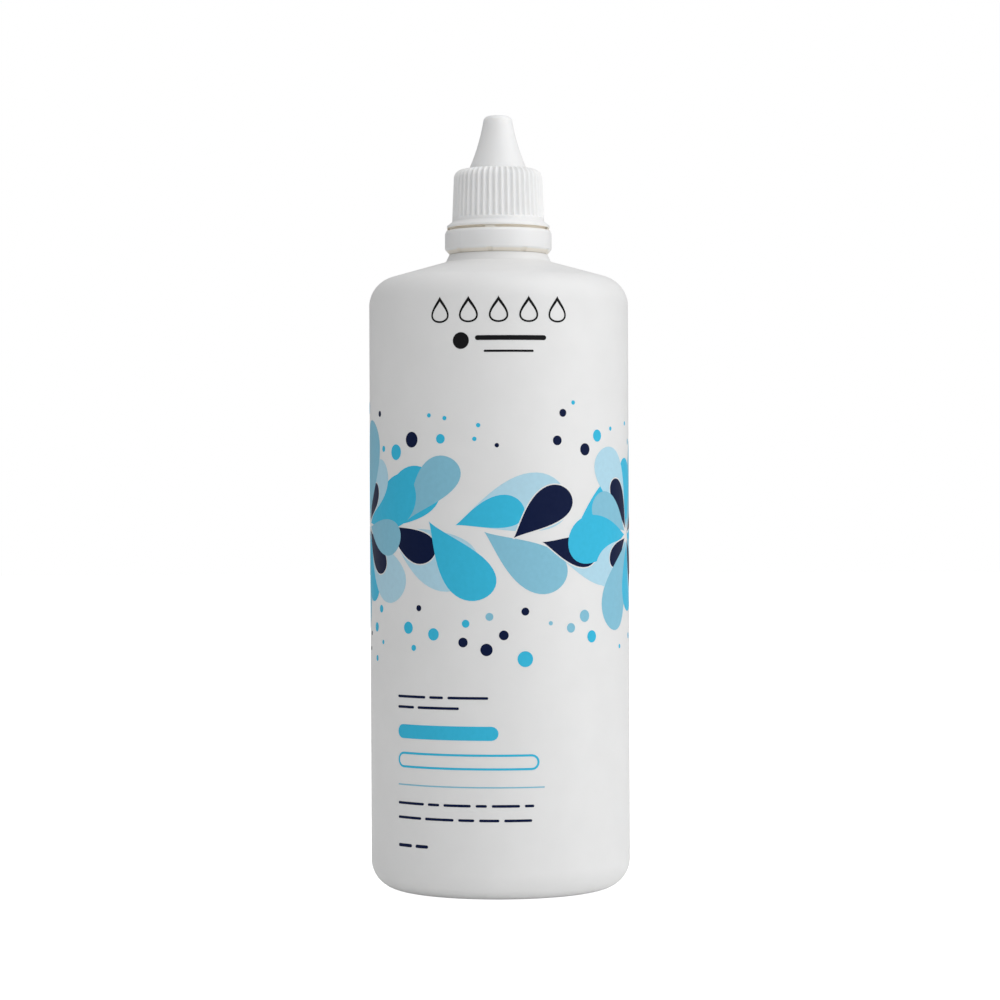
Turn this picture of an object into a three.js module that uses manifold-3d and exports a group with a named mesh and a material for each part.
// A squeeze bottle for contact lens solution, with a press-in dropper, a spouted screw cap and a
// tamper band. Millimetres, +Z up. The origin is the centre of the base, on the surface it stands on.
// Every piece is a body of revolution about Z. Angles round it are measured from the front, -Y,
// towards +X, so they grow anticlockwise as seen from above.
import * as THREE from "three";
import { mergeVertices } from "three/addons/utils/BufferGeometryUtils.js";
import Module from "manifold-3d";

const wasm = await Module();
wasm.setup();

// ---- driving dimensions ----

const TAU = 2 * Math.PI;
const degrees = Math.PI / 180;

const bodyFacets = 40; // sides of the round body and of what it holds
const closureFacets = 46; // sides of the closure, one to each grip groove
const arcSteps = 4; // straight pieces to a quarter-round corner

const wall = 1.0; // moulded wall of the bottle and of the cap

// Bottle body
const bodyRadius = 30.5;
const baseCorner = 6.8; // radius of the corner between the wall and the base
const ringInner = 19.6; // the base stands on a flat ring outside this radius
const pushUp = 2.5; // height of the domed middle of the base
const wallTop = 136.8; // where the straight wall ends
const shoulderCorner = 7.0;
const shoulderSlope = 15.75 * degrees;

// Collar and neck
const collarFootRadius = 12.45; // the collar is a short cone between the shoulder and the neck
const collarTopRadius = 11.35;
const collarTop = 148.8;
const neckRadius = 8.9; // between the collar and the bead
const beadRadius = 10.6; // the tamper band's flaps catch under this bead
const beadBottom = 152.2;
const threadRoot = 8.4; // neck wall that carries the thread
const neckBore = 7.2;
const neckTop = 166.7;

// Screw thread, right-handed
const pitch = 3.0;
const threadTurns = 1.5;
const neckCrest = 9.15;
const capCrest = 8.7;
const threadBase = 1.2; // width of the ridge where it leaves the wall
const threadTip = 0.6; // width of the ridge at its crest
const neckThreadStart = 159.2; // height of the ridge's first point on the neck

// Screw cap
const skirtBore = 9.45;
const skirtTopRadius = 10.43;
const skirtFootRadius = 10.86;
const capShoulder = 169.1; // height of the flat top round the spout
const capCorner = 2.1;
const flareTop = 156.75; // the skirt flares out below this height
const flareRadius = 12.14;
const capEdge = 155.2; // underside of the flare
const skirtEnd = 154.45; // the skirt goes on down inside the band
const skirtEndRadius = 11.3;
const grooveCount = closureFacets;
const grooveDepth = 0.45;
const grooveWidth = 0.72;
const grooveFoot = 157.3;
const spoutTop = 181.75;
const spoutTipRadius = 3.48;
const spoutTipCorner = 1.55;
const spoutFootRadius = 6.9;
const spoutBend = [4.55, 174.3]; // radius and height where the side's two tangents meet
const pinRadius = 0.42; // sealing pin that closes the nozzle
const pinBottom = 178.2;

// Dropper insert
const plugRadius = 7.0;
const plugBore = 5.8;
const plugBottom = 157.5;
const flangeRadius = 8.2;
const flangeThickness = 0.8;
const nozzleFootRadius = 5.2;
const nozzleTipRadius = 2.1;
const nozzleTop = 179.8;
const orificeRadius = 0.65;

// Tamper band
const bandRadius = 12.65;
const bandBore = 11.65;
const bandBottom = 149.05;
const bandTop = 154.6;
const bandFoot = 150.25; // the band's outside slopes inward below this height
const footRadius = 11.55; // where that slope ends
const flapCount = 9;
const flapTipRadius = 9.6;
const flapSlot = 1.0; // gap between one flap and the next
const firstSlotAngle = -10 * degrees;
const bridgeCount = 4;
const bridgeWidth = 2.4;
const bridgeHeight = 0.4;
const firstBridgeAngle = -9 * degrees;

// Liquid
const liquidGap = 0.3; // clearance between the liquid and the wall
const liquidTop = 136.6;
const meniscus = 0.5; // height that the liquid climbs at the wall

const seat = 0.2; // clearance between seated pieces

// ---- shape helpers ----

// Points (radius, height) along an arc of an ellipse, from one angle to another. Angle 0 points
// outward and 90 degrees points up.
function arc(centreRadius, centreHeight, across, up, from, to, steps = arcSteps) {
  const points = [];
  for (let step = 0; step <= steps; step += 1) {
    const angle = THREE.MathUtils.lerp(from, to, step / steps) * degrees;
    const radius = centreRadius + across * Math.cos(angle);
    points.push([radius, centreHeight + up * Math.sin(angle)]);
  }
  return points;
}

// A profile turned about Z. It runs up the outside and down the inside, and either starts and ends
// on the axis or closes on itself.
function turned(profile, facets) {
  const points = profile.map(([radius, height]) => new THREE.Vector2(radius, height));
  return new THREE.LatheGeometry(points, facets).rotateX(Math.PI / 2);
}

function solidFrom(geometry) {
  const bare = geometry.clone();
  bare.deleteAttribute("normal");
  bare.deleteAttribute("uv");
  const merged = mergeVertices(bare, 1e-4);
  const triangles = [];
  for (let first = 0; first < merged.index.count; first += 3) {
    const [a, b, c] = [0, 1, 2].map((corner) => merged.index.getX(first + corner));
    if (a !== b && b !== c && c !== a) {
      triangles.push(a, b, c);
    }
  }
  return new wasm.Manifold(new wasm.Mesh({
    numProp: 3,
    vertProperties: new Float32Array(merged.attributes.position.array),
    triVerts: new Uint32Array(triangles),
  }));
}

function geometryFrom(solid) {
  const mesh = solid.getMesh();
  const geometry = new THREE.BufferGeometry();
  geometry.setAttribute("position", new THREE.BufferAttribute(mesh.vertProperties, 3));
  geometry.setIndex(new THREE.BufferAttribute(mesh.triVerts, 1));
  geometry.computeVertexNormals();
  return geometry;
}

// A right-handed screw ridge on a wall. Its foot is sunk into the wall, and it rises out of the
// wall and sinks back into it at its two ends. A crest inside the wall's radius makes a nut's ridge.
function screwRidge(wallRadius, crestRadius, startHeight) {
  const outward = Math.sign(crestRadius - wallRadius);
  const footRadius = wallRadius - 0.3 * outward;
  const hiddenCrest = wallRadius - 0.1 * outward;
  const steps = threadTurns * closureFacets;
  const fadeSteps = 6;
  const position = [];
  for (let step = 0; step <= steps; step += 1) {
    const rise = Math.min(1, step / fadeSteps, (steps - step) / fadeSteps);
    const crest = THREE.MathUtils.lerp(hiddenCrest, crestRadius, rise);
    const middle = startHeight + (pitch * step) / closureFacets;
    const section = [
      [footRadius, middle - threadBase / 2],
      [crest, middle - threadTip / 2],
      [crest, middle + threadTip / 2],
      [footRadius, middle + threadBase / 2],
    ];
    const angle = (TAU * step) / closureFacets;
    section.forEach(([radius, height]) => {
      position.push(radius * Math.sin(angle), -radius * Math.cos(angle), height);
    });
  }
  const index = [0, 1, 2, 0, 2, 3];
  for (let step = 0; step < steps; step += 1) {
    for (let corner = 0; corner < 4; corner += 1) {
      const here = 4 * step + corner;
      const beside = 4 * step + ((corner + 1) % 4);
      index.push(here, here + 4, beside, beside, here + 4, beside + 4);
    }
  }
  const last = 4 * steps;
  index.push(last, last + 2, last + 1, last, last + 3, last + 2);
  if (outward < 0) {
    index.reverse();
  }
  const geometry = new THREE.BufferGeometry();
  geometry.setAttribute("position", new THREE.Float32BufferAttribute(position, 3));
  geometry.setIndex(index);
  return geometry;
}

// A block that stands on a radius, moved out along it and turned to its angle from the front.
function blockAt(angle, innerRadius, outerRadius, width, bottom, top) {
  const block = new THREE.BoxGeometry(width, outerRadius - innerRadius, top - bottom);
  block.translate(0, -(innerRadius + outerRadius) / 2, (bottom + top) / 2);
  return block.rotateZ(angle);
}

// ---- the pieces ----

// Height of the shoulder's outer face at a radius between the collar and the rounded corner.
const slopeEnd = arc(bodyRadius - shoulderCorner, wallTop, shoulderCorner, shoulderCorner, 0,
  90 - shoulderSlope / degrees).at(-1);
function shoulderHeight(radius) {
  return slopeEnd[1] + (slopeEnd[0] - radius) * Math.tan(shoulderSlope);
}

// Inner face of the bottle's body, from the axis of the base to where the shoulder meets the neck,
// set in from the moulded inner wall by a gap.
function bodyBore(gap) {
  const inset = wall + gap;
  const corner = baseCorner - inset;
  return [
    [0, pushUp + inset],
    [ringInner / 2, 0.75 * pushUp + inset],
    [ringInner, inset],
    ...arc(bodyRadius - baseCorner, baseCorner, corner, corner, -90, 0),
  ];
}

function bottleGeometry() {
  const cornerCentre = bodyRadius - shoulderCorner;
  const steepest = 90 - shoulderSlope / degrees;
  const innerCorner = shoulderCorner - wall;
  const profile = [
    [0, pushUp],
    [ringInner / 2, 0.75 * pushUp],
    [ringInner, 0],
    ...arc(bodyRadius - baseCorner, baseCorner, baseCorner, baseCorner, -90, 0),
    ...arc(cornerCentre, wallTop, shoulderCorner, shoulderCorner, 0, steepest),
    [collarFootRadius + 1, shoulderHeight(collarFootRadius + 1)],
    [collarFootRadius, shoulderHeight(collarFootRadius) + 0.25],
    [collarTopRadius + 0.2, collarTop - 0.25],
    [collarTopRadius - 0.1, collarTop],
    [neckRadius, collarTop],
    [neckRadius, beadBottom],
    [beadRadius, beadBottom],
    [beadRadius, beadBottom + 0.7],
    [threadRoot, beadBottom + 2],
    [threadRoot, neckTop],
    [neckBore, neckTop],
    [neckBore, collarTop + 2.4],
    [neckBore + 0.8, collarTop + 0.8],
    [neckBore + 2.3, collarTop - 1.2],
    [collarFootRadius - 1, shoulderHeight(collarFootRadius - 1) - wall / Math.cos(shoulderSlope)],
    ...arc(cornerCentre, wallTop, innerCorner, innerCorner, steepest, 0),
    ...bodyBore(0).reverse(),
  ];
  const plain = solidFrom(turned(profile, bodyFacets));
  const thread = solidFrom(screwRidge(threadRoot, neckCrest, neckThreadStart));
  return geometryFrom(plain.add(thread));
}

function liquidGeometry() {
  const surface = [
    [bodyRadius - wall - liquidGap, liquidTop + meniscus],
    [bodyRadius - wall - liquidGap - 1.5, liquidTop],
    [0, liquidTop],
  ];
  return turned([...bodyBore(liquidGap), ...surface], bodyFacets);
}

function dropperGeometry() {
  const flangeBottom = neckTop + seat;
  const flangeTop = flangeBottom + flangeThickness;
  const throat = nozzleTop - 2.6; // the bore is straight above this height
  const profile = [
    [plugRadius - 0.5, plugBottom],
    [plugRadius, plugBottom + 1.2],
    [plugRadius, flangeBottom],
    [flangeRadius, flangeBottom],
    [flangeRadius, flangeTop],
    [nozzleFootRadius, flangeTop],
    [nozzleTipRadius, nozzleTop - 0.4],
    [nozzleTipRadius - 0.4, nozzleTop],
    [orificeRadius, nozzleTop],
    [orificeRadius, throat],
    [nozzleFootRadius - 1.3, flangeTop],
    [plugBore, flangeBottom - 1.7],
    [plugBore, plugBottom],
    [plugRadius - 0.5, plugBottom],
  ];
  return turned(profile, closureFacets / 2);
}

// The spout's hollow-ground side: a curve from just under the rounded tip to the cap's flat top,
// set in by a wall thickness for the inside.
function spoutSide(inset, steps) {
  const top = new THREE.Vector2(spoutTipRadius - inset, spoutTop - spoutTipCorner);
  const bend = new THREE.Vector2(spoutBend[0] - inset, spoutBend[1]);
  const foot = new THREE.Vector2(spoutFootRadius - inset, capShoulder);
  return new THREE.QuadraticBezierCurve(foot, bend, top).getPoints(steps).map((point) => point.toArray());
}

function grooveCutters() {
  const height = capShoulder - grooveFoot + 1;
  const half = grooveWidth / 2;
  const section = new THREE.Shape([
    new THREE.Vector2(-half / 2, grooveDepth),
    new THREE.Vector2(-half, 0),
    new THREE.Vector2(-half - 0.3, -0.6),
    new THREE.Vector2(half + 0.3, -0.6),
    new THREE.Vector2(half, 0),
    new THREE.Vector2(half / 2, grooveDepth),
  ]);
  const lean = (skirtFootRadius - skirtTopRadius) / (capShoulder - capCorner - flareTop);
  const cutter = new THREE.ExtrudeGeometry(section, { depth: height, bevelEnabled: false });
  cutter.rotateX(-Math.atan(lean));
  cutter.translate(0, -skirtFootRadius, grooveFoot);
  return Array.from({ length: grooveCount }, (_, number) => {
    return cutter.clone().rotateZ((TAU * (number + 0.5)) / grooveCount);
  });
}

function capGeometry() {
  const innerTop = capShoulder - wall;
  const skirtTop = capShoulder - capCorner;
  const spoutInside = spoutSide(wall + 0.05, 3).reverse().slice(0, -1);
  const profile = [
    [0, pinBottom],
    [pinRadius, pinBottom + 0.2],
    [pinRadius, spoutTop - 1.4],
    [spoutTipRadius - wall - 0.3, spoutTop - 1.4],
    ...spoutInside,
    [spoutFootRadius - wall, innerTop],
    [skirtBore - 0.4, innerTop],
    [skirtBore, innerTop - 0.4],
    [skirtBore, skirtEnd + 0.5],
    [skirtBore + 0.3, skirtEnd],
    [skirtEndRadius, skirtEnd],
    [skirtEndRadius, capEdge],
    [flareRadius, capEdge],
    [flareRadius, capEdge + 0.35],
    [flareRadius - 0.25, capEdge + 0.75],
    [skirtFootRadius + 0.15, flareTop - 0.15],
    [skirtFootRadius, flareTop + 0.15],
    ...arc(skirtTopRadius - capCorner, skirtTop, capCorner, capCorner, 0, 90),
    ...spoutSide(0, 5).slice(0, -1),
    ...arc(spoutTipRadius - spoutTipCorner, spoutTop - spoutTipCorner, spoutTipCorner, spoutTipCorner,
      0, 90, 3),
    [0, spoutTop],
  ];
  let cap = solidFrom(turned(profile, closureFacets));
  grooveCutters().forEach((cutter) => {
    cap = cap.subtract(solidFrom(cutter));
  });
  const capThreadStart = neckThreadStart - pitch / 2;
  return geometryFrom(cap.add(solidFrom(screwRidge(skirtBore, capCrest, capThreadStart))));
}

function bandGeometry() {
  const flapTop = beadBottom - 0.35;
  const profile = [
    [footRadius, bandBottom],
    [bandRadius - 0.1, bandFoot - 0.15],
    [bandRadius, bandFoot + 0.1],
    [bandRadius, bandTop - 0.7],
    [bandRadius - 0.35, bandTop],
    [bandBore, bandTop],
    [bandBore, bandFoot],
    [flapTipRadius + 0.45, flapTop],
    [flapTipRadius, flapTop - 0.35],
    [footRadius - 0.25, bandBottom],
    [footRadius, bandBottom],
  ];
  let band = solidFrom(turned(profile, closureFacets));
  for (let number = 0; number < flapCount; number += 1) {
    const angle = firstSlotAngle + (TAU * number) / flapCount;
    const slot = blockAt(angle, flapTipRadius - 0.5, bandBore - 0.12, flapSlot, bandBottom - 1, beadBottom);
    const notch = blockAt(angle, footRadius - 1, bandRadius - 0.45, flapSlot, bandBottom - 1, bandFoot - 0.4);
    band = band.subtract(solidFrom(slot)).subtract(solidFrom(notch));
  }
  for (let number = 0; number < bridgeCount; number += 1) {
    const angle = firstBridgeAngle + (TAU * number) / bridgeCount;
    const bridge = blockAt(angle, bandBore + 0.1, bandRadius - 0.65, bridgeWidth, bandTop - 0.4,
      bandTop + bridgeHeight);
    band = band.add(solidFrom(bridge));
  }
  return geometryFrom(band);
}

// ---- materials and assembly ----

function plastic(color, roughness) {
  return new THREE.MeshStandardMaterial({ color, roughness, metalness: 0 });
}

function piece(name, geometry, material) {
  const mesh = new THREE.Mesh(geometry, material);
  mesh.name = name;
  return mesh;
}

const liquidMaterial = plastic(0xe8f4f8, 0.05);
liquidMaterial.transparent = true;
liquidMaterial.opacity = 0.5;

// The filled bottle with its dropper stands still; the closure turns on its neck.
const filledBottle = new THREE.Group();
filledBottle.add(piece("bottle", bottleGeometry(), plastic(0xe9eaec, 0.42)));
filledBottle.add(piece("dropper_insert", dropperGeometry(), plastic(0xf2f3f4, 0.35)));
filledBottle.add(piece("saline_solution", liquidGeometry(), liquidMaterial));

const closure = new THREE.Group();
closure.add(piece("tamper_band", bandGeometry(), plastic(0xeceded, 0.4)));
closure.add(piece("screw_cap", capGeometry(), plastic(0xeceded, 0.4)));

const group = new THREE.Group();
group.add(filledBottle, closure);

export default group;
